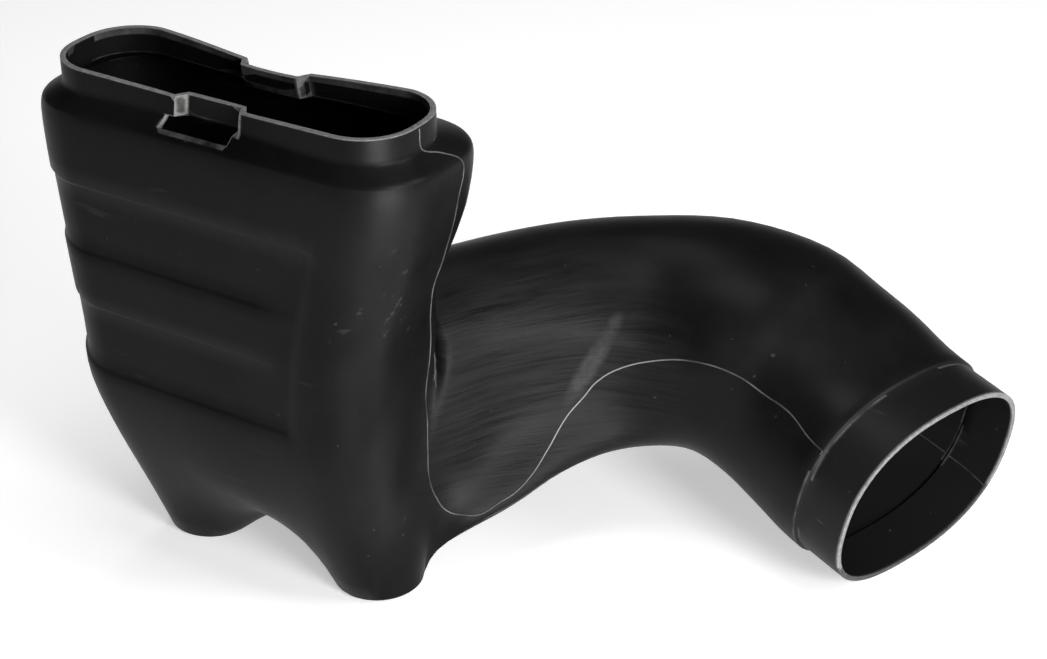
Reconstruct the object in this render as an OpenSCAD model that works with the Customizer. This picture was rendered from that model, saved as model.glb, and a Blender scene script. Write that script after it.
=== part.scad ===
// Air intake pipe for a car engine bay, blow-moulded in one piece.
// A flat oblong mouth opens into an upright chamber that stands on two hollow feet.
// A wide duct leaves the back of the chamber, bends to the right and drops to an oval outlet cuff.
// The outlet's lowest edge and the two feet carry the pipe when it stands on a table.
//
// The shell is a loft. Every cross-section is one closed ring of points, and the same number of
// points is used all the way from the mouth to the outlet. The outer skin runs through the rings,
// the inner skin lies one wall inside it, and a flat rim joins the two skins at each end.

/* [Wall] */
// Thickness of the moulded wall
wall = 2.2; // [1.6:0.1:2.8]

/* [Mouth] */
// Length of the rim, end to end
mouth_l = 152; // [130:1:182]
// Width of the rim, front to back
mouth_w = 48; // [44:1:58]
// Corner radius of the rim
mouth_r = 20.5; // [16:0.5:21.5]
// Height of the straight collar under the rim
collar_h = 10; // [7:0.5:12]
// How far the middle of each long rim bows inwards
rim_bow = 3.5; // [0:0.5:5]
// How far the middle of each long rim dips
rim_dip = 2.5; // [0:0.5:4]

/* [Clip pockets] */
// Width of the pocket in the middle of each long collar wall
clip_w = 26; // [20:1:32]
// Depth of the pocket
clip_d = 4.5; // [2:0.5:6]
// How far the slot under the pocket runs past its left end
slot_over = 4.5; // [3:0.5:6]

/* [Shoulder] */
// Drop from the foot of the collar to the edge of the shoulder
shoulder_h = 7; // [5:0.5:9]
// Ledge in front of the collar
ledge_front = 4.5; // [3:0.5:7]
// Ledge behind the collar
ledge_back = 16.5; // [12:0.5:20]
// Ledge past the left end of the collar
ledge_left = 11.5; // [8:0.5:14]
// Ledge past the right end of the collar
ledge_right = 7.5; // [7:0.5:12]
// Radius of the upright corners at the shoulder
shoulder_r = 26; // [22:1:32]

/* [Chamber] */
// Height of the flat front wall, from the shoulder's edge to the turn at its foot
front_h = 128; // [107:1:155]
// Size of the turn from the front wall into the floor
turn_r = 50; // [42:1:56]
// Height of the chamber's floor above the table
floor_h = 13; // [10:1:18]
// How far the left end leans in on its way down
lean_left = 12; // [5:1:18]
// How far the right end leans in on its way down
lean_right = 22; // [15:1:28]
// Radius of the upright corners at the foot of the front wall
foot_r = 22; // [18:1:28]

/* [Front panel] */
// Depth of the sunk panel on the front wall
panel_d = 1.2; // [0.6:0.1:2]
// Distance from the shoulder's edge down to the panel
panel_top = 28; // [20:1:34]
// Height of the panel
panel_h = 79; // [60:1:85]
// Distance from the panel's top edge down to the raised pad
pad_top = 28; // [20:1:34]
// Height of the raised pad
pad_h = 23; // [18:1:30]

/* [Feet] */
// Distance between the centres of the feet
foot_gap = 83; // [74:1:96]
// Radius of each foot where it meets the table
foot_tip = 18; // [14:0.5:20]

/* [Duct] */
// Height of the duct's top above the table
duct_top = 116; // [105:1:125]
// Width of the duct
duct_w = 101; // [88:1:108]
// Length of the straight run behind the chamber
leg_a = 81; // [68:1:98]
// Radius of the bend on the centre line
bend_r = 98; // [82:1:118]
// Length of the straight run after the bend
leg_b = 48; // [44:1:60]
// Direction of the first run, from the X axis
head_a = 60; // [55:1:65]
// Direction of the outlet, from the X axis
head_b = -18; // [-25:1:-10]
// Height of the arch under the middle of the duct
arch_h = 28; // [22:1:34]
// Depth of the hollow between the chamber and the bend
scoop_d = 24; // [12:1:26]

/* [Outlet] */
// Width of the outlet cuff
outlet_w = 101; // [90:1:108]
// Height of the outlet cuff
outlet_h = 80.5; // [68:0.5:88]
// How far the outlet points down
droop = 10.5; // [6:0.5:14]
// Length of the cuff
cuff_l = 22; // [18:1:26]
// Step from the duct down to the cuff
cuff_step = 1.2; // [0.6:0.1:2]

/* [Hidden] */

// Smooth ramp from 0 to 1
function ease(t) = let (q = min(max(t, 0), 1)) q * q * (3 - 2 * q);
function mix(a, b, t) = a + (b - a) * t;
function unit(v) = v / norm(v);
// Smaller and larger of two values, rounded over a span k where they meet
function soft_min(a, b, k) = min(a, b) - pow(max(k - abs(a - b), 0), 2) / (4 * k);
function soft_max(a, b, k) = -soft_min(-a, -b, k);
// Point on a quarter of a superellipse: exponent 2 is round, more is squarer
function oval(a, b, n, t) = [a * sign(cos(t)) * pow(abs(cos(t)), 2 / n), b * sign(sin(t)) * pow(abs(sin(t)), 2 / n)];

// Heights above the table
outlet_top = outlet_h * cos(droop);
edge_z = floor_h + turn_r + front_h;
base_z = edge_z + shoulder_h;
rim_z = base_z + collar_h;

// Plan of the chamber, measured from the middle of the mouth
front_y = -mouth_w / 2 - ledge_front;
back_y = mouth_w / 2 + ledge_back;
left_x = -mouth_l / 2 - ledge_left;
right_x = mouth_l / 2 + ledge_right;
foot_x = (left_x + lean_left + right_x - lean_right) / 2 + 8.5;
foot_y = front_y + 39;

// Columns of the loft, counted anticlockwise from the middle of the right side
corner_n = 7;
step_w = 1;
flat_l = mouth_l - 2 * mouth_r;
slot_x = -clip_w / 2 - slot_over;
front_x = [-0.5 * flat_l, -0.4 * flat_l, (slot_x - 0.35 * flat_l) / 2, slot_x, -clip_w / 2 - step_w, -clip_w / 2 + step_w,
    -clip_w / 8, clip_w / 8, clip_w / 2 - step_w, clip_w / 2 + step_w, 0.25 * flat_l, 0.36 * flat_l,
    0.41 * flat_l, 0.425 * flat_l, 0.465 * flat_l, 0.48 * flat_l];
back_x = [0.5 * flat_l, 0.3 * flat_l, clip_w / 2 + step_w, clip_w / 2 - step_w, 0,
    -clip_w / 2 + step_w, -clip_w / 2 - step_w, slot_x, -0.36 * flat_l, -0.5 * flat_l];
front_n = len(front_x);
back_n = len(back_x);
ring_n = 4 * corner_n + front_n + back_n + 2;
back_at = 1 + corner_n;
left_at = back_at + back_n + corner_n;
front_at = left_at + 1 + corner_n;
// Columns where the pad and the panel end, and the columns of the slots
pad_end = front_at + 12;
panel_end = front_at + 14;
front_slot = [front_at + 3, front_at + 8];
back_slot = [back_at + 3, back_at + 7];
// Angle round the section at each column, for the oval part of the loft
middle_back = back_at + (back_n - 1) / 2;
middle_left = left_at;
middle_front = front_at + (front_n - 1) / 2;
angles = [for (j = [0:ring_n - 1])
    lookup(j, [[0, 0], [middle_back, 90], [middle_left, 180], [middle_front, 270], [ring_n, 360]])];

// Rounded rectangle of half sizes a and b with corner radius r
function corner(c, r, from) = [for (i = [0:corner_n - 1])
    let (t = from + 90 * (i + 0.5) / corner_n) c + r * [cos(t), sin(t)]];
function box_ring(a, b, r, even = 0) = let (q = min(r, b - 0.5), f = a - q) concat(
    [[a, 0]], corner([f, b - q], q, 0),
    [for (x = back_x) [f * 2 * x / flat_l, b]], corner([-f, b - q], q, 90),
    [[-a, 0]], corner([-f, q - b], q, 180),
    [for (i = [0:front_n - 1]) [f * mix(2 * front_x[i] / flat_l, 2 * i / (front_n - 1) - 1, even), -b]],
    corner([f, q - b], q, 270));

// Oval with its right side drawn in to the waist w above the seam
// The right side stands upright up to the height s, and a dome of exponent d closes it
function duct_point(a, b, w, s, n, e, d, t) =
    t > 270 ? let (p = oval(a, b, e, t)) [p[0] - (a - w) * ease((t - 315) / 45) , p[1]]
    : t > 90 ? oval(a, b, n, t)
    : let (g = 90 * s / (s + b), k = mix(n, d, ease(4 * s / b)))
        t < g ? [w, s * t / g]
        : let (p = oval(w, b - s, k, 90 * (t - g) / (90 - g))) [p[0], s + p[1]];

// Splines through the stations, which don't overshoot them
function rise(k, v, i) = (v[i + 1] - v[i]) / (k[i + 1] - k[i]);
function tangent(k, v, i) = i == 0 ? rise(k, v, 0) : i == len(k) - 1 ? rise(k, v, i - 1)
    : let (p = rise(k, v, i - 1), q = rise(k, v, i))
        [for (c = [0:len(p) - 1]) p[c] * q[c] > 0 ? 2 * p[c] * q[c] / (p[c] + q[c]) : 0];
function span(k, x, i = 0) = i == len(k) - 2 || x < k[i + 1] ? i : span(k, x, i + 1);
function spline(k, v, x) = let (i = span(k, x), h = k[i + 1] - k[i], t = (x - k[i]) / h, u = 1 - t)
    v[i] * u * u * (1 + 2 * t) + v[i + 1] * t * t * (3 - 2 * t)
    + tangent(k, v, i) * h * t * u * u - tangent(k, v, i + 1) * h * t * t * u;

// A station holds the two rails that a section spans and the shape of the section:
// front point, back point, turn of the section in plan, half width, corner radius, share of oval,
// exponents of the oval and of its near lower corner, waist, upright height, exponent of the dome
waist_top = duct_w / 2 - scoop_d;
turn_at = [0, 20, 38, 58];
drop_n = 0.55;
back_fall = edge_z - duct_top + 3;
function chamber_station(d, t) = let (
        total = front_h + turn_r,
        y = front_y + (turn_r + 2) * (1 - pow(cos(t), 1 / 0.9)),
        z = t == 0 ? edge_z - d : floor_h + turn_r * (1 - pow(sin(t), 1 / 0.9)),
        fallen = (edge_z - z) / total,
        left = left_x + lean_left * ease(fallen * 1.5) + 38 * (1 - cos(t)),
        right = right_x - lean_right * ease(fallen * 1.75),
        middle = (left + right) / 2,
        half = (right - left) / 2)
    [middle, y, z, middle, back_y + 7 * pow(fallen, 3), edge_z - back_fall * (1 - pow(1 - fallen, 2)),
     0, half, mix(shoulder_r, foot_r, ease(fallen * 1.7)), ease(fallen * 1.6 - 0.9) * 0.7,
     2.3, 3.2, half - 10 * ease(fallen * 3 - 2), 10 * ease(fallen * 3 - 2), 2];

// Plan of the duct's centre line: a straight run, a bend to the right and a second straight run
start = [foot_x + 22.5, foot_y + 16];
function heading(t) = [cos(t), sin(t)];
bend_l = bend_r * (head_a - head_b) * PI / 180;
path_l = leg_a + bend_l + leg_b;
pivot = start + leg_a * heading(head_a) + bend_r * heading(head_a - 90);
function course(s) = s < leg_a ? head_a : max(head_b, head_a - (s - leg_a) / bend_r * 180 / PI);
function track(s) = s < leg_a ? start + s * heading(head_a)
    : s < leg_a + bend_l ? pivot + bend_r * heading(course(s) + 90)
    : pivot + bend_r * heading(head_b + 90) + (s - leg_a - bend_l) * heading(head_b);
// Each row: place along the duct, share of the fall of its top, share of the rise of its underside,
// forward lean of the section, share of the scoop, height of the upright side as a share of the half height,
// exponents of the oval and of its near lower corner
duct_rows = [
    [0.27 * leg_a, 0, 0.45, 4, 0.9, 0.5, 2.3, 3.6],
    [0.54 * leg_a, 0, 0.65, -6, 1, 0.5, 2.2, 3.4],
    [0.86 * leg_a, 0, 0.95, -5, 0.85, 0.5, 2.2, 3.0],
    [leg_a + 0.13 * bend_l, 0, 1, -2, 0.55, 0.4, 2.1, 2.7],
    [leg_a + 0.34 * bend_l, 0, 1, 1, 0.2, 0.2, 2.1, 2.5],
    [leg_a + 0.56 * bend_l, -0.04, 0.97, 5, 0, 0, 2.1, 2.4],
    [leg_a + 0.78 * bend_l, 0.09, 0.69, 10, 0, 0, 2.2, 2.4],
    [leg_a + 0.88 * bend_l, 0.35, 0.54, 11, 0, 0, 2.25, 2.4],
    [leg_a + 0.98 * bend_l, 0.51, 0.39, 12, 0, 0, 2.3, 2.4]];
function duct_station(q) = let (
        s = q[0],
        top = mix(duct_top, outlet_top, q[1]),
        low = arch_h * q[2],
        b = (top - low) / 2,
        way = heading(course(s)) * b * tan(q[3]),
        half = duct_w / 2 + 2 * ease(1 - s / (0.5 * leg_a)),
        near = track(s) - way,
        far = track(s) + way)
    [near[0], near[1], low, far[0], far[1], top, (course(s) - 90) * ease((s + 25) / 70),
     half, foot_r, 1, q[6], q[7], half - scoop_d * q[4], b * q[5], 1.5];

// The cuff is straight: its axis, and the section at its step
outlet_c = [track(path_l)[0], track(path_l)[1], outlet_top / 2];
outlet_up = [heading(head_b)[0] * sin(droop), heading(head_b)[1] * sin(droop), cos(droop)];
outlet_way = [heading(head_b)[0] * cos(droop), heading(head_b)[1] * cos(droop), -sin(droop)];
function cuff_station(back, grow) = let (
        c = outlet_c - back * outlet_way,
        v = outlet_up * (outlet_h / 2 + grow),
        p = c - v,
        q = c + v)
    [p[0], p[1], p[2], q[0], q[1], q[2], head_b - 90, outlet_w / 2 + grow, foot_r, 1, 2.4, 2.4,
     outlet_w / 2 + grow, 0, 1.5];

// All stations from the shoulder's edge to the step of the cuff, and their distances along the loft
drops = [0, 0.1, 0.22, 0.33, 0.44, 0.61, 0.83, 1];
stations = concat(
    [for (d = drops) chamber_station(d * front_h, 0)],
    [for (i = [1:len(turn_at) - 1]) chamber_station(front_h, turn_at[i])],
    [for (q = duct_rows) duct_station(q)],
    [cuff_station(cuff_l + 8, cuff_step), cuff_station(cuff_l, cuff_step)]);
function near_rail(q) = [for (c = [0:2]) mix(q[c], q[c + 3], 0.25)];
function gap(i) = i < len(drops) ? (drops[i] - drops[i - 1]) * front_h
    : norm(near_rail(stations[i]) - near_rail(stations[i - 1]));
function gaps(i) = i == 0 ? 0 : gap(i) + gaps(i - 1);
knots = [for (i = [0:len(stations) - 1]) gaps(i)];
loft_l = knots[len(knots) - 1];

// Section at one station, as points in space
function section(q) = let (
        near = [q[0], q[1], q[2]],
        far = [q[3], q[4], q[5]],
        b = norm(far - near) / 2,
        c = (near + far) / 2,
        u = [cos(q[6]), sin(q[6]), 0],
        v = (far - near) / (2 * b),
        square = box_ring(q[7], b, q[8], q[9]))
    [for (j = [0:ring_n - 1]) let (
            round_p = q[9] > 0 ? duct_point(q[7], b, q[12], q[13], q[10], q[11], q[14], angles[j]) : [0, 0],
            p = mix(square[j], round_p, q[9]))
        c + u * p[0] + v * p[1]];

// Rings of the collar and the shoulder
function level_ring(l, r, f, k, z, rad, bow = 0, dip = 0, sink = 0) = let (
        c = [(l + r) / 2, (f + k) / 2],
        a = (r - l) / 2,
        b = (k - f) / 2,
        square = box_ring(a, b, rad))
    [for (j = [0:ring_n - 1]) let (
            p = square[j],
            side = abs(p[1]) > b - 0.01 ? 1 : 0,
            wave = side * pow(cos(90 * p[0] / (a - rad + 4)), 2),
            deep = sink * side * (abs(p[0]) < clip_w / 2 ? 1 : 0))
        [c[0] + p[0], c[1] + p[1] - sign(p[1]) * (bow * wave + deep), z - dip * wave]];
function shoulder_ring(t, z, inset = 0) = level_ring(
    mix(-mouth_l / 2, left_x, t) + inset, mix(mouth_l / 2, right_x, t) - inset,
    mix(-mouth_w / 2, front_y, t) + inset, mix(mouth_w / 2, back_y, t) - inset,
    z, mix(mouth_r, shoulder_r, t), rim_bow * (1 - t) * 0.6);
function collar_ring(z, bow, dip) = level_ring(
    -mouth_l / 2, mouth_l / 2, -mouth_w / 2, mouth_w / 2, z, mouth_r, bow, dip, clip_d);
collar_rings = [
    collar_ring(rim_z, rim_bow, rim_dip),
    collar_ring(rim_z - 0.5 * collar_h, 0.8 * rim_bow, 0.5 * rim_dip),
    collar_ring(base_z + 0.6, 0.6 * rim_bow, 0),
    shoulder_ring(0.12, base_z - 0.6),
    shoulder_ring(0.5, mix(base_z, edge_z, 0.5)),
    shoulder_ring(0.86, mix(base_z, edge_z, 0.86)),
    shoulder_ring(1, edge_z - 0.6, 0.5)];
slot_rings = [2, 4];

// Places of the rings below the shoulder's edge: two at each edge of the panel and the pad
ramp = 0.8;
panel_edges = [panel_top, panel_top + pad_top, panel_top + pad_top + pad_h, panel_top + panel_h];
front_places = concat([3.5, panel_top / 2],
    [for (i = [0:3]) each [panel_edges[i] - ramp, panel_edges[i] + ramp,
        i < 3 ? (panel_edges[i] + panel_edges[i + 1]) / 2 : (panel_edges[i] + front_h) / 2]]);
// Below the front wall: rings at even steps round the feet, then at wider steps along the duct
foot_n = 6;
foot_from = knots[len(drops)];
foot_to = knots[len(drops) + len(turn_at) - 1];
foot_places = [for (i = [0:2 * foot_n]) mix(foot_from, foot_to, i / (2 * foot_n))];
duct_n = 20;
duct_places = [for (i = [1:duct_n]) mix(foot_to, loft_l, i / duct_n)];
places = concat(front_places, [(front_h + foot_from) / 2], foot_places, duct_places);

// Sunk panel that wraps the left front corner, with the raised pad in it
function sunk(j, x) = let (
        inside = x > panel_edges[0] && x < panel_edges[3],
        pad = x > panel_edges[1] && x < panel_edges[2],
        wrap = j >= front_at - corner_n && j < panel_end)
    !inside || !wrap ? 0 : pad && j < pad_end ? 0.2 * panel_d : panel_d;
function body_ring(x) = let (
        q = spline(knots, stations, x),
        ring = section(q),
        way = unit([q[3] - q[0], q[4] - q[1], q[5] - q[2]]))
    [for (j = [0:ring_n - 1]) let (
            deep = sunk(j, x),
            turn = j < front_at ? 90 * (j - front_at + corner_n + 0.5) / corner_n : 90)
        ring[j] + deep * (way * sin(turn) + [cos(turn), 0, 0])];

// Inward direction at one point of a set of rings, from its eight neighbours
function inward(rings, i, j) = let (
        up = rings[max(i - 1, 0)],
        down = rings[min(i + 1, len(rings) - 1)],
        l = (j + ring_n - 1) % ring_n,
        r = (j + 1) % ring_n)
    unit(2 * cross(rings[i][r] - rings[i][l], down[j] - up[j]) + cross(up[r] - down[l], down[r] - up[l]));

plain = concat(collar_rings, [for (x = places) body_ring(x)],
    [for (back = [cuff_l - 0.8, cuff_l / 2, 0]) section(cuff_station(back, 0))]);
last = len(plain) - 1;

// Hollow feet: in a square patch of the grid the skin is drawn down to a flat round tip
// A point's place in its patch is s across and t along the loft, each from -1 to 1
foot_i = len(collar_rings) + len(front_places) + 1 + foot_n;
foot_columns = [front_at - 1, front_at + front_n - 1];
foot_round = 1.2;
function side(j) = j < front_at + front_n / 2 ? 0 : 1;
function across(j) = (j - foot_columns[side(j)]) / foot_n;
function along(i) = (i - foot_i) / foot_n;
function patch_edge(k, s, t) = let (i = foot_i + foot_n * t, j = foot_columns[k] + foot_n * s)
    mix(plain[floor(i)][floor(j)], plain[ceil(i)][ceil(j)], i - floor(i) + j - floor(j));
// Directions from the middle of the foot to the four corners of its patch, front left first
turns = [215, 302, 395, 445, 575];
function foot_angle(s, t) = t == -1 ? mix(turns[0], turns[1], (1 + s) / 2)
    : s == 1 ? mix(turns[1], turns[2], (1 + t) / 2)
    : t == 1 ? mix(turns[2], turns[3], (1 - s) / 2)
    : mix(turns[3], turns[4], (1 - t) / 2);
function footed(k, s, t) = let (
        m = max(abs(s), abs(t)),
        e = m == 0 ? [1, 0] : [s, t] / m,
        edge = patch_edge(k, e[0], e[1]),
        way = foot_angle(e[0], e[1]),
        r = foot_tip * lookup(m, [[0, 0], [1 / 3, 0.9], [1 / 2, 1]]),
        tip = [foot_x + (k - 0.5) * foot_gap + r * cos(way), foot_y + r * sin(way)],
        q = max(2 * m - 1, 0),
        z = lookup(m, [[1 / 3, 0], [1 / 2, foot_round]]))
    [mix(tip[0], edge[0], q), mix(tip[1], edge[1], q), mix(z, edge[2], q)];
drawn = [for (i = [0:last]) [for (j = [0:ring_n - 1])
    max(abs(across(j)), abs(along(i))) < 1 ? footed(side(j), across(j), along(i)) : plain[i][j]]];

// The skin round the feet, and the valley where the duct leaves the right end, are softened:
// each point moves towards the middle of its four neighbours
function free(i, j) = let (s = abs(across(j)), t = abs(along(i)))
    (max(s, t) > 0.6 && s < 1.4 && t < 1.25) || (j < back_at && i > foot_i - 3 && i < foot_i + 9);
function soften(g, n) = n == 0 ? g : soften([for (i = [0:last]) [for (j = [0:ring_n - 1]) free(i, j)
    ? (4 * g[i][j] + g[i - 1][j] + g[i + 1][j] + g[i][(j + 1) % ring_n] + g[i][(j + ring_n - 1) % ring_n]) / 8
    : g[i][j]]], n - 1);
outer = soften(drawn, 6);

// Inner skin: each point moves inwards until the wall is as thick as stated, square to the outer skin
// Round the feet the directions are evened out first, so that the skin doesn't fold at tight edges
function evened(g, n) = n == 0 ? g : evened([for (i = [0:last]) [for (j = [0:ring_n - 1])
    abs(along(i)) < 1.5
    ? unit(2 * g[i][j] + g[i - 1][j] + g[i + 1][j] + g[i][(j + 1) % ring_n] + g[i][(j + ring_n - 1) % ring_n])
    : g[i][j]]], n - 1);
square = [for (i = [0:last]) [for (j = [0:ring_n - 1]) inward(outer, i, j)]];
ways = evened(square, 5);
inner = [for (i = [0:last]) [for (j = [0:ring_n - 1]) let (
        way = ways[i][j],
        p = outer[i][j] + wall / max(way * square[i][j], 0.7) * way)
    i == 0 ? [p[0], p[1], outer[i][j][2]] : p]];

// The frame's origin is the middle of the footprint on the table
all_x = [for (ring = outer) for (p = ring) p[0]];
all_y = [for (ring = outer) for (p = ring) p[1]];
all_z = [for (ring = outer) for (p = ring) p[2]];
origin = [(min(all_x) + max(all_x)) / 2, (min(all_y) + max(all_y)) / 2, min(all_z)];

// Faces: a grid of triangles on each skin, left open at the slots, whose edges get walls
function within(v, lo_hi) = v >= lo_hi[0] && v < lo_hi[1];
function open(i, j) = within(i, slot_rings) && (within(j, front_slot) || within(j, back_slot));
function at(i, j) = i * ring_n + j % ring_n;
skin_n = (last + 1) * ring_n;
function quad(a, b, c, d) = [[a, b, c], [a, c, d]];
grid = [for (i = [0:last - 1]) for (j = [0:ring_n - 1]) if (!open(i, j)) [i, j]];
outer_faces = [for (g = grid) each quad(
    at(g[0], g[1]), at(g[0], g[1] + 1), at(g[0] + 1, g[1] + 1), at(g[0] + 1, g[1]))];
inner_faces = [for (f = outer_faces) [f[2] + skin_n, f[1] + skin_n, f[0] + skin_n]];
function lip(a, b) = quad(b, a, a + skin_n, b + skin_n);
rim_faces = [for (j = [0:ring_n - 1]) each concat(lip(at(0, j), at(0, j + 1)), lip(at(last, j + 1), at(last, j)))];
slot_faces = [for (s = [front_slot, back_slot]) each concat(
    [for (j = [s[0]:s[1] - 1]) each concat(
        lip(at(slot_rings[1], j), at(slot_rings[1], j + 1)), lip(at(slot_rings[0], j + 1), at(slot_rings[0], j)))],
    [for (i = [slot_rings[0]:slot_rings[1] - 1]) each concat(
        lip(at(i + 1, s[1]), at(i, s[1])), lip(at(i, s[0]), at(i + 1, s[0])))])];

module intake_duct() {
    color([0.07, 0.07, 0.075])
    translate(-origin)
    polyhedron(
        points = [for (skin = [outer, inner]) for (ring = skin) each ring],
        faces = concat(outer_faces, inner_faces, rim_faces, slot_faces),
        convexity = 8);
}

intake_duct();
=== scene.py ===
# %% [markdown]
# # A blow-moulded air intake pipe
# The object is one hollow shell of black plastic: a flat oblong mouth, an upright chamber on
# two hollow feet, and a wide duct that bends round to an oval cuff. This lesson loads its exact
# CAD shape, makes a smooth shell from it, lays the mould's parting line on the surface, and
# gives everything the satin black of moulded polyethylene. Lengths are metres.

# %% Load the frame
import math

import bmesh
import bpy
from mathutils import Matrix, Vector


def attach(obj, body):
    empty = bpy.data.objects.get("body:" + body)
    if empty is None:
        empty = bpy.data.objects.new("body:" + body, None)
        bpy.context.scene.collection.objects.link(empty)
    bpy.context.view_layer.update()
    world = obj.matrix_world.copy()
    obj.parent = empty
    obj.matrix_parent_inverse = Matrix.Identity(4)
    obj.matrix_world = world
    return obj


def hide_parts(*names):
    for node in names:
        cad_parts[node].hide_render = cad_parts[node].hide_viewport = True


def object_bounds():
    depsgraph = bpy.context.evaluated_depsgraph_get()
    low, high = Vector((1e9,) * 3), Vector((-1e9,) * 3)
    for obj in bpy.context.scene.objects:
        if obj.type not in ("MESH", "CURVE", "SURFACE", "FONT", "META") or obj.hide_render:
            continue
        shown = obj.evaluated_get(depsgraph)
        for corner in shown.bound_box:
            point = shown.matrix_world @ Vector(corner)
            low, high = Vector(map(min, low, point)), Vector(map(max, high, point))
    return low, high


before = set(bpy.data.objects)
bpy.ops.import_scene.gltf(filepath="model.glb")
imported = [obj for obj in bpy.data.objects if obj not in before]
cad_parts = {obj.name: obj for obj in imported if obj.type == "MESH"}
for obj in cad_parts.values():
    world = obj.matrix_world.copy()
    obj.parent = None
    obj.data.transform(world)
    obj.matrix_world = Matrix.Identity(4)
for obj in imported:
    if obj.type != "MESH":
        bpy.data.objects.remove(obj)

MM = 0.001
cad_low, cad_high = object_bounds()
print("CAD box in mm:", [round(x / MM, 1) for x in cad_high - cad_low])


# %% Helpers for objects and meshes
def keep_inside(mesh):
    """Clamps a mesh to the CAD shape's box, so that the looks never outgrow the part."""
    for vertex in mesh.vertices:
        vertex.co = Vector([min(max(c, a), b) for c, a, b in zip(vertex.co, cad_low, cad_high)])


def new_object(name, data):
    """An object with some data, put in the scene."""
    made = bpy.data.objects.new(name, data)
    bpy.context.scene.collection.objects.link(made)
    return made


def plain_mesh(holder):
    """What an object's modifiers make of it, as a mesh of its own."""
    depsgraph = bpy.context.evaluated_depsgraph_get()
    return bpy.data.meshes.new_from_object(holder.evaluated_get(depsgraph))


# %% [markdown]
# ## The shell
# The CAD shape comes in as loose flat triangles. A smooth moulding needs shared corners and
# quads, so a copy is merged and its triangle pairs are joined. The sharp edges of the cut rims,
# the clip slots and the panel steps are marked first. A Subdivision Surface then rounds the flat
# facets off, and keeps the marked edges nearly sharp, as they are on a moulding.

# %% Copy and merge
SAME_POINT = 0.01 * MM
PAIR_TURN, PAIR_SHAPE = math.radians(50), math.radians(120)
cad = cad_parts["intake_duct"]
work = bmesh.new()
work.from_mesh(cad.data)
bmesh.ops.remove_doubles(work, verts=work.verts, dist=SAME_POINT)
bmesh.ops.join_triangles(
    work, faces=work.faces, angle_face_threshold=PAIR_TURN, angle_shape_threshold=PAIR_SHAPE
)
triangles = sum(len(face.verts) == 3 for face in work.faces)
print("shell:", len(work.verts), "points,", len(work.faces), "faces,", triangles, "triangles")

# %% Creases by the angle between faces
RIM_TURN, PANEL_TURN, BEND_TURN = 55, 20, 30
CRISP, SOFT = 0.95, 0.75
PANEL_FRONT, PANEL_FOOT = -95 * MM, 75 * MM
crease = work.edges.layers.float.new("crease_edge")


def on_panel(edge):
    """True on the front wall, where the panel's edges turn less than the cut rims do."""
    return all(v.co.y < PANEL_FRONT and v.co.z > PANEL_FOOT for v in edge.verts)


for edge in work.edges:
    turn = math.degrees(edge.calc_face_angle(0))
    crisp = turn > RIM_TURN or (turn > PANEL_TURN and on_panel(edge))
    edge[crease] = CRISP if crisp else SOFT if turn > BEND_TURN else 0.0
print("creased edges:", sum(e[crease] > 0 for e in work.edges))

# %% [markdown]
# The wall has an outer and an inner skin. The finish and the parting line have to tell them
# apart, so the outer faces are marked now. The walk starts at the rearmost face and crosses every
# edge that isn't sharp. The cut rims are sharp all round, so it never gets inside.

# %% Mark the outer skin
RIM_EDGE = math.radians(50)
NO_SECOND_FACE = 3
skin = work.faces.layers.int.new("outer_skin")
todo = [max(work.faces, key=lambda face: face.calc_center_median().y)]
while todo:
    face = todo.pop()
    if not face[skin]:
        face[skin] = 1
        open_edges = [e for e in face.edges if e.calc_face_angle(NO_SECOND_FACE) < RIM_EDGE]
        todo += [neighbour for e in open_edges for neighbour in e.link_faces]
print("faces of the outer skin:", sum(f[skin] for f in work.faces))

# %% Round the facets off
SHARP_TURN = math.radians(22)
cage = bpy.data.meshes.new("cage")
work.to_mesh(cage)
work.free()
shell = new_object("moulded_shell", cage)
rounding = shell.modifiers.new("rounding", "SUBSURF")
rounding.levels = rounding.render_levels = 1
rounded = plain_mesh(shell)
shell.modifiers.remove(rounding)
shell.data = rounded
rounded.name = "moulded_shell"
keep_inside(rounded)
rounded.shade_smooth()
rounded.set_sharp_from_angle(angle=SHARP_TURN)
print("rounded shell:", len(rounded.polygons), "quads")

# %% [markdown]
# The parting line is laid on the shell later: outside on the outer skin, and inside the outlet on
# the inner one. The two are only 2 mm apart, so a search for the nearest surface could find the
# wrong one. Each skin therefore gets a guide, a copy of the shell without the other skin's faces.
# The guides are deleted when the line is done.


# %% Guides: each skin alone
def guide_of(name, outer):
    """An object with only the outer or only the inner skin, for beads to lie on."""
    mesh = rounded.copy()
    trim = bmesh.new()
    trim.from_mesh(mesh)
    marked = trim.faces.layers.int["outer_skin"]
    others = [face for face in trim.faces if bool(face[marked]) != outer]
    bmesh.ops.delete(trim, geom=others, context="FACES")
    trim.to_mesh(mesh)
    trim.free()
    print(name, "has", len(mesh.polygons), "faces")
    return new_object(name, mesh)


outer_guide = guide_of("outer_guide", True)
inner_guide = guide_of("inner_guide", False)

# %% [markdown]
# ## Marks that the finish reads
# The trimmed rims are paler than the moulded skin, because the knife leaves a rough cut. The
# sharp edges of the moulding get pale lines too: partly rubbing and partly painted highlight, so
# edges that lie in shade get none. So each point gets two numbers: one is 1 on the cut faces,
# the other is 1 on the sharp edges that get the pale line. The finish only uses the part near 1,
# which keeps these marks as thin as they are on the object. They are attributes, so they follow
# the surface wherever the object goes.

# %% Tell the cut faces
FACING, SIDEWAYS = 0.8, 0.5
MOUTH_TOP = 204 * MM
CUFF_MIDDLE = Vector((147.5, 42.3, 39.6)) * MM
CUFF_AXIS = Vector((0.9351, -0.3038, -0.1822)).normalized()
CUFF_DEPTH = 0.3 * MM
SLOT_FOOT, SLOT_X, SLOT_HALF = 186 * MM, -77.8 * MM, 19 * MM


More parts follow.
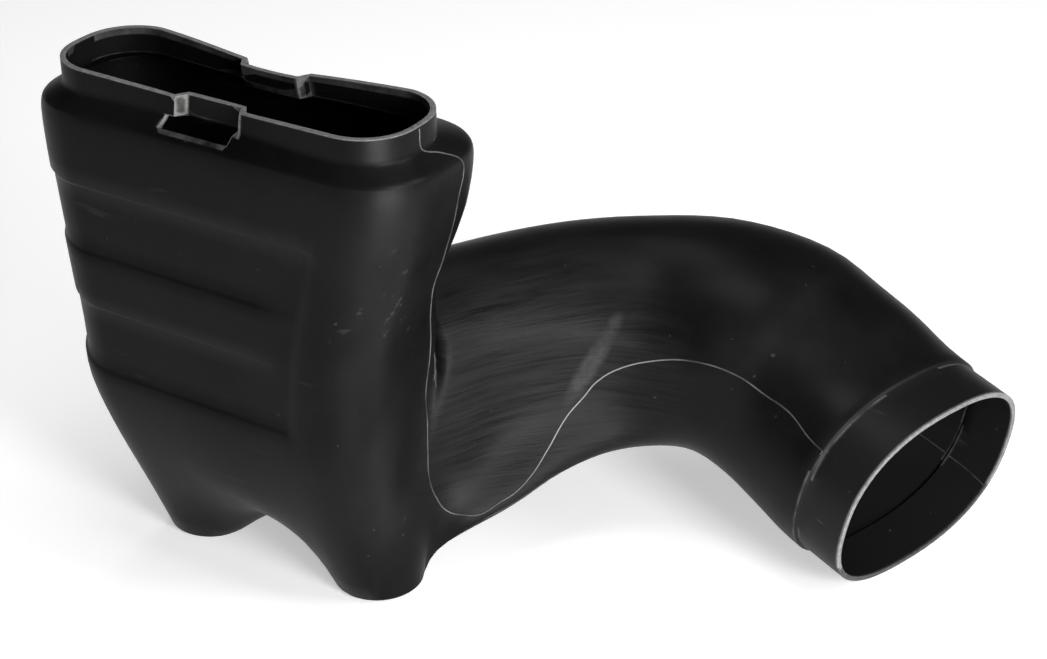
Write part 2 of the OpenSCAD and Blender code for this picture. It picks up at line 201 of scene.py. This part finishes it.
def trimmed(face):
    """True on the cut face of the mouth or of the cuff, and on the ends of the clip slots."""
    middle, way = face.center, face.normal
    on_mouth = middle.z > MOUTH_TOP and way.z > FACING
    depth = abs((middle - CUFF_MIDDLE).dot(CUFF_AXIS))
    on_cuff = depth < CUFF_DEPTH and way.dot(CUFF_AXIS) > FACING
    at_slot = middle.z > SLOT_FOOT and abs(middle.x - SLOT_X) < SLOT_HALF
    return on_mouth or on_cuff or (at_slot and abs(way.y) < SIDEWAYS)


# %% Tell where the sharp edges lie in shade and get no pale line
LEDGES, LEDGE_REACH, LEDGE_BACK = (134.6 * MM, 83.6 * MM), 2 * MM, -70 * MM
NEAR_FLOOR = 20 * MM


def in_shade(place):
    """True on the panel's two ledges that face up, and low down on the part."""
    level = any(abs(place.z - height) < LEDGE_REACH for height in LEDGES)
    return (place.y < LEDGE_BACK and level) or place.z < NEAR_FLOOR


# %% Mark the points
rim_points = {point for face in rounded.polygons if trimmed(face) for point in face.vertices}
sharp = rounded.attributes["sharp_edge"].data
sharp_edges = [edge for edge in rounded.edges if sharp[edge.index].value]
wear_and_highlight_points = {point for edge in sharp_edges for point in edge.vertices}
# Edges in shade get no pale line, because that line is partly painted highlight.
wear_and_highlight_points -= {vertex.index for vertex in rounded.vertices if in_shade(vertex.co)}
for name, points in (("rim", rim_points), ("wear_and_highlight_edge", wear_and_highlight_points)):
    mark = rounded.attributes.new(name, "FLOAT", "POINT")
    values = [float(index in points) for index in range(len(rounded.vertices))]
    mark.data.foreach_set("value", values)
    print(name, "points:", len(points))

# %% [markdown]
# ## The finish
# Blow-moulded polyethylene is black all through. Its skin is satin, with a fine grain from the
# blasted mould, slow waves in the sheen, tool marks in the hollow beside the duct, and a few pale
# scuffs. The colour also paints highlights: a band down the hollow, and, along with the rubbing,
# the pale lines on the sharp edges. All of it is procedural on Object coordinates, which stay put
# on the moulded part.


# %% Helpers that make a material and its textures
def new_finish(name, colour, roughness, specular):
    """A material with a Principled shader, its tree and that shader."""
    finish = bpy.data.materials.new(name)
    finish.use_nodes = True
    shader = finish.node_tree.nodes["Principled BSDF"]
    shader.inputs["Base Color"].default_value = (*colour, 1)
    shader.inputs["Roughness"].default_value = roughness
    shader.inputs["Specular IOR Level"].default_value = specular
    return finish, finish.node_tree, shader


def object_place(tree):
    """The coordinates that stay put on the part."""
    return tree.nodes.new("ShaderNodeTexCoord").outputs["Object"]


def noise(tree, vector, scale, detail, roughness=0.55):
    """A noise texture on some coordinates."""
    node = tree.nodes.new("ShaderNodeTexNoise")
    node.inputs["Scale"].default_value = scale
    node.inputs["Detail"].default_value = detail
    node.inputs["Roughness"].default_value = roughness
    tree.links.new(vector, node.inputs["Vector"])
    return node.outputs["Fac"]


def mapped(tree, vector, kind="POINT", **settings):
    """Coordinates that are moved, turned or scaled."""
    node = tree.nodes.new("ShaderNodeMapping")
    node.vector_type = kind
    for name, setting in settings.items():
        node.inputs[name.capitalize()].default_value = setting
    tree.links.new(vector, node.inputs["Vector"])
    return node.outputs["Vector"]


def attribute(tree, name):
    """One of the numbers stored on the mesh."""
    node = tree.nodes.new("ShaderNodeAttribute")
    node.attribute_name = name
    return node.outputs["Fac"]


# %% Helpers that combine values
def ramp(tree, value, span, to=(0, 1)):
    """A value brought from one span to another, and held inside it."""
    node = tree.nodes.new("ShaderNodeMapRange")
    for name, number in zip(("From Min", "From Max", "To Min", "To Max"), (*span, *to)):
        node.inputs[name].default_value = number
    tree.links.new(value, node.inputs["Value"])
    return node.outputs["Result"]


def maths(tree, operation, first, second):
    """One sum of two values or sockets."""
    node = tree.nodes.new("ShaderNodeMath")
    node.operation = operation
    for socket, value in zip(node.inputs, (first, second)):
        if isinstance(value, (int, float)):
            socket.default_value = value
        else:
            tree.links.new(value, socket)
    return node.outputs["Value"]


def around(tree, vector, middle, reach):
    """1 near a place given in millimetres, fading to 0 at the reach."""
    node = tree.nodes.new("ShaderNodeVectorMath")
    node.operation = "DISTANCE"
    node.inputs[1].default_value = Vector(middle) * MM
    tree.links.new(vector, node.inputs[0])
    return ramp(tree, node.outputs["Value"], (0.5 * reach * MM, reach * MM), (1, 0))


def blend(tree, share, first, second):
    """A colour between two colours or sockets."""
    node = tree.nodes.new("ShaderNodeMix")
    node.data_type = "RGBA"
    tree.links.new(share, node.inputs["Factor"])
    for name, value in (("A", first), ("B", second)):
        socket = next(i for i in node.inputs if i.name == name and i.type == "RGBA")
        if isinstance(value, tuple):
            socket.default_value = (*value, 1)
        else:
            tree.links.new(value, socket)
    return next(o for o in node.outputs if o.type == "RGBA")


# %% Satin black: coordinates, fine grain and slow clouds
black, tree, shader = new_finish(
    "satin_black", colour=(0.0035, 0.0035, 0.0037), roughness=0.42, specular=0.08
)
here = object_place(tree)
grain = noise(tree, here, scale=900, detail=3)
cloud = noise(tree, here, scale=24, detail=5, roughness=0.6)
print("started", black.name)

# %% Tool marks: fine level lines in the hollow beside the duct
HOLLOW_MIDDLE, HOLLOW_REACH = (0, -14, 74), 66
stretched = mapped(tree, here, scale=(26, 26, 520))
strokes = ramp(tree, noise(tree, stretched, scale=1, detail=4, roughness=0.7), (0.35, 0.65))
hollow = around(tree, here, HOLLOW_MIDDLE, HOLLOW_REACH)
marks = maths(tree, "MULTIPLY", strokes, hollow)
print("tool marks around", HOLLOW_MIDDLE, "reach", HOLLOW_REACH, "mm")

# %% Painted highlight: a bright band that runs down the hollow to the parting line
HIGHLIGHT_MIDDLE, HIGHLIGHT_WAY = (19.5, 1, 80), (13, 14, 33)
HIGHLIGHT_REACH, HIGHLIGHT_STRETCH = 11, (0.45, 0.45, 2.2)
along = mapped(
    tree,
    here,
    kind="TEXTURE",
    location=Vector(HIGHLIGHT_MIDDLE) * MM,
    rotation=Vector(HIGHLIGHT_WAY).to_track_quat("Z", "Y").to_euler(),
    scale=HIGHLIGHT_STRETCH,
)
band = around(tree, along, (0, 0, 0), HIGHLIGHT_REACH)
broken = ramp(tree, noise(tree, here, scale=160, detail=4, roughness=0.7), (0.3, 0.6), (0.3, 1))
# This band is painted highlight, where the hollow's turned edge catches the light.
painted_highlight = maths(tree, "MULTIPLY", band, broken)
print("streak around", HIGHLIGHT_MIDDLE, "mm")

# %% Scuffs: thin pale scratches here and there, and small pale specks
slanted = mapped(tree, here, rotation=(0.6, 0.9, 0.3), scale=(40, 260, 260))
scratch = ramp(tree, noise(tree, slanted, scale=1, detail=2, roughness=0.5), (0.66, 0.74))
patch = ramp(tree, noise(tree, here, scale=14, detail=3), (0.5, 0.64))
speck = ramp(tree, noise(tree, here, scale=330, detail=1, roughness=0.4), (0.77, 0.81))
scuff = maths(tree, "MAXIMUM", maths(tree, "MULTIPLY", scratch, patch), speck)
print("scuffs and specks added")

# %% Edges: the cut rims, and pale lines on the sharp edges that are partly rubbing and partly painted highlight, both broken up by noise
rim, wear_and_highlight_edge = attribute(tree, "rim"), attribute(tree, "wear_and_highlight_edge")
knife = ramp(tree, noise(tree, here, scale=520, detail=4), (0.3, 0.65), (0.4, 1))
wear_and_highlight_breakup = ramp(
    tree, noise(tree, here, scale=75, detail=5, roughness=0.65), (0.36, 0.62), (0.12, 1)
)
trimming = maths(tree, "MULTIPLY", ramp(tree, rim, (0.8, 0.97)), knife)
# Pale lines on the sharp edges: partly rubbing, partly painted highlight.
wear_and_highlight_lines = maths(tree, "MULTIPLY", ramp(tree, wear_and_highlight_edge, (0.78, 1)), wear_and_highlight_breakup)
# The cut rims' edges are paler still: partly the rough cut, partly painted highlight.
cut_and_highlight_edge = maths(tree, "MULTIPLY", ramp(tree, wear_and_highlight_edge, (0.45, 0.95)), trimming)
print("edges added")

# %% Sheen: waves, and duller where the skin is marked, scuffed or cut
WAVES, MARKED_DULLER, CUT_DULLER = (0.36, 0.48), 0.12, 0.2
rough_places = maths(tree, "MAXIMUM", scuff, trimming)
sheen = ramp(tree, cloud, (0.3, 0.7), WAVES)
for place, more in ((marks, MARKED_DULLER), (rough_places, CUT_DULLER)):
    sheen = maths(tree, "ADD", sheen, maths(tree, "MULTIPLY", place, more))
tree.links.new(sheen, shader.inputs["Roughness"])
print("roughness from", WAVES[0], "to", WAVES[1])

# %% Colour: dusty clouds outside, even grey inside, then each kind of mark and the painted highlights
SKIN_DARK, SKIN_DUSTY = (0.0022, 0.0022, 0.0024), (0.0048, 0.0048, 0.005)
INNER_SKIN, CUT_AND_HIGHLIGHT_EDGE = (0.006,) * 3, (0.17, 0.17, 0.165)
LAYERS = (
    (marks, 0.5, (0.018,) * 3),
    (painted_highlight, 0.5, (0.06,) * 3),
    (scuff, 0.3, (0.05,) * 3),
    (wear_and_highlight_lines, 0.7, (0.1,) * 3),
    (trimming, 0.7, (0.08, 0.08, 0.078)),
)
colour = blend(tree, ramp(tree, cloud, (0.35, 0.7)), SKIN_DARK, SKIN_DUSTY)
colour = blend(tree, attribute(tree, "outer_skin"), INNER_SKIN, colour)
for mask, share, tone in LAYERS:
    colour = blend(tree, maths(tree, "MULTIPLY", mask, share), colour, tone)
colour = blend(tree, cut_and_highlight_edge, colour, CUT_AND_HIGHLIGHT_EDGE)
tree.links.new(colour, shader.inputs["Base Color"])
print("colour layers:", len(LAYERS) + 1)

# %% Relief: grain, tool marks and the rough cut as one height
BUMP_STRENGTH, BUMP_DEPTH = 0.2, 0.2 * MM
height = grain
for place, times in ((marks, 3.5), (trimming, 2.5)):
    height = maths(tree, "ADD", height, maths(tree, "MULTIPLY", place, times))
bump = tree.nodes.new("ShaderNodeBump")
bump.inputs["Strength"].default_value = BUMP_STRENGTH
bump.inputs["Distance"].default_value = BUMP_DEPTH
tree.links.new(height, bump.inputs["Height"])
tree.links.new(bump.outputs["Normal"], shader.inputs["Normal"])
rounded.materials.clear()
rounded.materials.append(black)
print(black.name, "has", len(tree.nodes), "nodes")

# %% Rubbed black of the parting bead: polished here and there by handling, with a painted highlight near the hollow
GLINT_MIDDLE, GLINT_REACH, GLINT_SHARE = (18, -2, 66), 46, 0.8
BEAD_DARK, BEAD_RUBBED, BEAD_GLINT = (0.006, 0.006, 0.0063), (0.07,) * 3, (0.22,) * 3
bead_black, tree, shader = new_finish(
    "rubbed_black_and_glint", colour=(0.03, 0.03, 0.03), roughness=0.35, specular=0.4
)
here = object_place(tree)
handled = ramp(tree, noise(tree, here, scale=90, detail=4), (0.35, 0.7))
handled = blend(tree, handled, BEAD_DARK, BEAD_RUBBED)
# A painted highlight on the bead near the hollow, where its crest catches the light.
painted_glint = maths(tree, "MULTIPLY", around(tree, here, GLINT_MIDDLE, GLINT_REACH), GLINT_SHARE)
tree.links.new(blend(tree, painted_glint, handled, BEAD_GLINT), shader.inputs["Base Color"])
print(bead_black.name, "has", len(tree.nodes), "nodes")

# %% [markdown]
# ## The parting line
# Two mould halves meet round the part and leave a fine raised line on it. It could be drawn in
# the material, but a real bead catches the light along its crest. So a curve is laid through a
# few places on the shell, Geometry Nodes bring its points onto one of its skins, and a thin round
# profile is swept along it. The near and the far line run down the outside, from the mouth to the
# cuff. A short third one shows inside the outlet.

# %% Places that the line passes, in millimetres
NEAR_LINE = [
    (-2, -85, 207), (-2, -84, 199), (1, -76, 195), (5, -69, 190), (4, -70, 175), (-2, -68, 157),
    (-10, -62, 135), (-16, -59, 112), (-18, -60, 92), (-20, -58, 74), (-19, -60, 58),
    (-18, -61, 46), (-16, -59, 36), (-13, -56, 29), (-8, -52, 27), (-3, -49, 27), (3, -42, 31),
    (6, -37, 33), (9, -29, 38), (11, -21, 45), (14, -9, 57), (17, -3, 63), (21, 1, 70),
    (30, 5, 77), (45, 9, 83), (59, 12, 85), (75, 14, 83), (88, 14, 78), (99, 12, 75),
    (111, 7, 69), (122, 3, 66), (133, -1, 63), (141, -4, 61),
]
FAR_LINE = [
    (-154, -84, 207), (-154, -84, 199), (-160, -80, 195), (-166, -76, 188), (-165, -70, 165),
    (-164, -66, 140), (-160, -60, 115), (-150, -46, 92), (-122, -30, 74), (-92, -20, 66),
    (-75, 8, 68), (-58, 35, 70), (-36, 64, 72), (-8, 89, 72), (29, 108, 72), (67, 113, 64),
    (105, 108, 48), (132, 101, 32), (155, 92, 24),
]
INSIDE_LINE = [(157, 85, 19), (147, 89, 22), (136, 93, 24), (126, 96, 26), (116, 99, 28)]
print("places on the lines:", len(NEAR_LINE), len(FAR_LINE), len(INSIDE_LINE))

# %% Geometry Nodes tree with named inputs
BEAD_INPUTS = {
    "Geometry": "Geometry",
    "Surface": "Object",
    "Spacing": "Float",
    "Radius": "Float",
    "Finish": "Material",
}


def new_tree(name, inputs):
    """An empty tree that takes some inputs and gives one geometry."""
    tree = bpy.data.node_groups.new(name, "GeometryNodeTree")
    tree.interface.new_socket("Geometry", in_out="OUTPUT", socket_type="NodeSocketGeometry")
    for title, kind in inputs.items():
        tree.interface.new_socket(title, in_out="INPUT", socket_type="NodeSocket" + kind)
    return tree


# %% Nodes of the bead: even points, onto the surface, then the sweep
PROFILE_SIDES = 6


def bead_tree():
    """A tree that pulls a path onto a surface and sweeps a thin profile along it."""
    tree = new_tree("parting_bead", BEAD_INPUTS)
    new = tree.nodes.new
    start, end = new("NodeGroupInput").outputs, new("NodeGroupOutput").inputs
    even = new("GeometryNodeResampleCurve")
    even.mode = "LENGTH"
    surface = new("GeometryNodeObjectInfo")
    nearest = new("GeometryNodeSampleNearestSurface")
    nearest.data_type = "FLOAT_VECTOR"
    place = new("GeometryNodeInputPosition")
    move = new("GeometryNodeSetPosition")
    profile = new("GeometryNodeCurvePrimitiveCircle")
    profile.inputs["Resolution"].default_value = PROFILE_SIDES
    sweep = new("GeometryNodeCurveToMesh")
    sweep.inputs["Fill Caps"].default_value = True
    real = new("GeometryNodeRealizeInstances")
    paint = new("GeometryNodeSetMaterial")
    for source, target in (
        (start["Geometry"], even.inputs["Curve"]),
        (start["Spacing"], even.inputs["Length"]),
        (start["Surface"], surface.inputs["Object"]),
        (surface.outputs["Geometry"], nearest.inputs["Mesh"]),
        (place.outputs["Position"], nearest.inputs["Value"]),
        (even.outputs["Curve"], move.inputs["Geometry"]),
        (nearest.outputs["Value"], move.inputs["Position"]),
        (move.outputs["Geometry"], sweep.inputs["Curve"]),
        (start["Radius"], profile.inputs["Radius"]),
        (profile.outputs["Curve"], sweep.inputs["Profile Curve"]),
        (sweep.outputs["Mesh"], real.inputs["Geometry"]),
        (real.outputs["Geometry"], paint.inputs["Geometry"]),
        (start["Finish"], paint.inputs["Material"]),
        (paint.outputs["Geometry"], end["Geometry"]),
    ):
        tree.links.new(source, target)
    return tree


# %% Lay a bead
BEAD_SPACING, BEAD_RADIUS = 1.2 * MM, 0.32 * MM


def smooth_path(name, places):
    """A curve object that passes smoothly through some places."""
    path = bpy.data.curves.new(name, "CURVE")
    path.dimensions = "3D"
    spline = path.splines.new("BEZIER")
    spline.bezier_points.add(len(places) - 1)
    for point, spot in zip(spline.bezier_points, places):
        point.co = Vector(spot) * MM
        point.handle_left_type = point.handle_right_type = "AUTO"
    return new_object(name + "_path", path)


def lay_bead(name, places, tree, guide):
    """A parting bead through some places, as a plain mesh."""
    holder = smooth_path(name, places)
    modifier = holder.modifiers.new("bead", "NODES")
    modifier.node_group = tree
    values = {
        "Surface": guide, "Spacing": BEAD_SPACING, "Radius": BEAD_RADIUS, "Finish": bead_black
    }
    for item in tree.interface.items_tree:
        if item.in_out == "INPUT" and item.name in values:
            modifier[item.identifier] = values[item.name]
    mesh = plain_mesh(holder)
    bpy.data.objects.remove(holder)
    keep_inside(mesh)
    mesh.shade_smooth()
    print(name, "has", len(mesh.polygons), "faces")
    return new_object(name, mesh)


# %% Lay all three, and delete the guides
bead_rule = bead_tree()
near_bead = lay_bead("parting_bead_near", NEAR_LINE, bead_rule, outer_guide)
far_bead = lay_bead("parting_bead_far", FAR_LINE, bead_rule, outer_guide)
inside_bead = lay_bead("parting_bead_inside", INSIDE_LINE, bead_rule, inner_guide)
for guide in (outer_guide, inner_guide):
    bpy.data.objects.remove(guide)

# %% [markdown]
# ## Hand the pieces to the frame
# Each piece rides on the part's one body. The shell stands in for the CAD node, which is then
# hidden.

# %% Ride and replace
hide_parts("intake_duct")
for piece in (shell, near_bead, far_bead, inside_bead):
    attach(piece, "root")
    print(piece.name, "rides on root")

# %% [markdown]
# ## Floor, light and camera
# The part stands on a white floor. The floor's own glow is only seen by the camera, in
# reflections and through glass, so it whitens the background, adds no soft light to the black
# plastic, and keeps the part's shadow. It is dimmer near the part, where the sheen reflects it.
# Five soft lamps light the part at a plain level. The strongest stands at the right in front, with
# another at the right behind it: they draw the broad highlights on the chamber's rounded corner
# and on the duct. A low one reaches under the arch, one hangs overhead, and a faint one stands
# behind at the left.

# %% Floor
FLOOR_SIZE, FLOOR_GLOW, GLOW_REACH = 8, 0.42, 2400
bpy.ops.mesh.primitive_plane_add(size=FLOOR_SIZE, location=(0, 0, 0))
floor = bpy.context.object
floor.name = "floor"
pale, tree, shader = new_finish("pale_floor", colour=(0.8, 0.8, 0.8), roughness=0.9, specular=0.1)
rays = tree.nodes.new("ShaderNodeLightPath").outputs
mirrored = maths(tree, "ADD", rays["Is Glossy Ray"], rays["Is Transmission Ray"])
seen = maths(tree, "MINIMUM", maths(tree, "ADD", rays["Is Camera Ray"], mirrored), 1)
close = around(tree, object_place(tree), (0, 0, 0), GLOW_REACH)
glow = maths(tree, "MULTIPLY", seen, ramp(tree, close, (0, 1), (1, FLOOR_GLOW)))
shader.inputs["Emission Color"].default_value = (1, 1, 1, 1)
tree.links.new(glow, shader.inputs["Emission Strength"])
floor.data.materials.append(pale)
print("floor:", FLOOR_SIZE, "m wide")


# %% Lamps
def soft_lamp(name, place, aim, size, power):
    """A soft rectangular lamp that faces a place on the part."""
    light = bpy.data.lights.new(name, "AREA")
    light.shape = "RECTANGLE"
    light.size, light.size_y = size
    light.energy = power
    lamp = new_object(name, light)
    lamp.location = place
    lamp.rotation_mode = "QUATERNION"
    lamp.rotation_quaternion = (Vector(aim) - Vector(place)).to_track_quat("-Z", "Y")
    lamp.visible_camera = False
    print(name, "lamp:", power, "W")


MIDDLE, UNDER_ARCH = (0.02, -0.01, 0.09), (-0.02, -0.05, 0.08)
soft_lamp("overhead", (0.02, -0.01, 1.5), MIDDLE, size=(0.6, 0.6), power=7)
soft_lamp("back_left", (-0.5, 0.51, 1.15), MIDDLE, size=(0.45, 0.45), power=2)
soft_lamp("right_side", (1.11, 0.28, 0.72), MIDDLE, size=(0.4, 0.4), power=7)
soft_lamp("right_front", (0.94, -0.44, 0.5), MIDDLE, size=(0.34, 0.34), power=11)
soft_lamp("low_right", (0.36, -0.345, 0.05), UNDER_ARCH, size=(0.26, 0.09), power=3)

# %% World: white for the camera, dim for the part
SKY_LEVEL = 0.1
world = bpy.data.worlds.new("studio")
bpy.context.scene.world = world
world.use_nodes = True
tree = world.node_tree
rays = tree.nodes.new("ShaderNodeLightPath").outputs
sky = tree.nodes["Background"]
sky.inputs["Color"].default_value = (1, 1, 1, 1)
strength = ramp(tree, rays["Is Camera Ray"], (0, 1), (SKY_LEVEL, 1))
tree.links.new(strength, sky.inputs["Strength"])
print("sky level on the part:", SKY_LEVEL)

# %% Camera
SENSOR_MM, FOCAL_PIXELS, PICTURE_WIDTH = 36, 2100, 1047
LOOK_DOWN, TURN_LEFT = 29.7, 31.2
camera_data = bpy.data.cameras.new("camera")
camera_data.sensor_width = SENSOR_MM
camera_data.lens = SENSOR_MM * FOCAL_PIXELS / PICTURE_WIDTH
camera = new_object("camera", camera_data)
camera.location = (0.3655, -0.6235, 0.5)
camera.rotation_euler = (math.radians(90 - LOOK_DOWN), 0, math.radians(TURN_LEFT))
bpy.context.scene.camera = camera
bpy.context.scene.view_settings.view_transform = "Standard"
print("lens:", round(camera_data.lens, 1), "mm")
